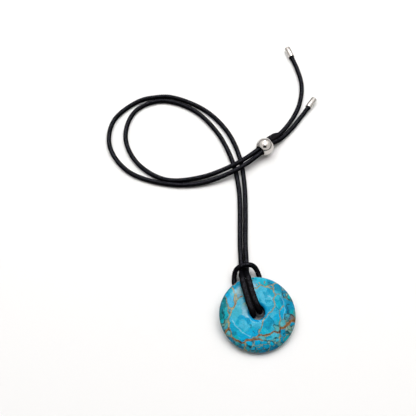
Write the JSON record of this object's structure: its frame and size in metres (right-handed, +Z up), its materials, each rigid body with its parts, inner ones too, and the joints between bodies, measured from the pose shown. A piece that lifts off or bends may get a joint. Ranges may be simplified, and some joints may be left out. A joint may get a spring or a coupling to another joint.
{
  "type": "cord pendant necklace",
  "caption": "Flat turquoise ring pendant looped on a doubled braided cord with a sliding steel bead and plain steel end caps, lying on a table.",
  "frame": {"origin": "on the table under the middle of the stone pendant, at the bottom centre of the stone's own box", "axes": "+Z up from the table; +Y the way the two strands run off from the stone; +X to the right when the stone is nearest"},
  "size_m": [0.1449, 0.2332, 0.0153],
  "materials": {
    "turquoise": "polished turquoise with brown and cream veins",
    "black_cord": "round braided cotton, lightly waxed",
    "polished_steel": "polished"
  },
  "bodies": {
    "root": {"pendant_stone": "turquoise", "cord": "black_cord", "slider_bead": "polished_steel", "end_cap_upper": "polished_steel", "end_cap_lower": "polished_steel"}
  },
  "joints": []
}
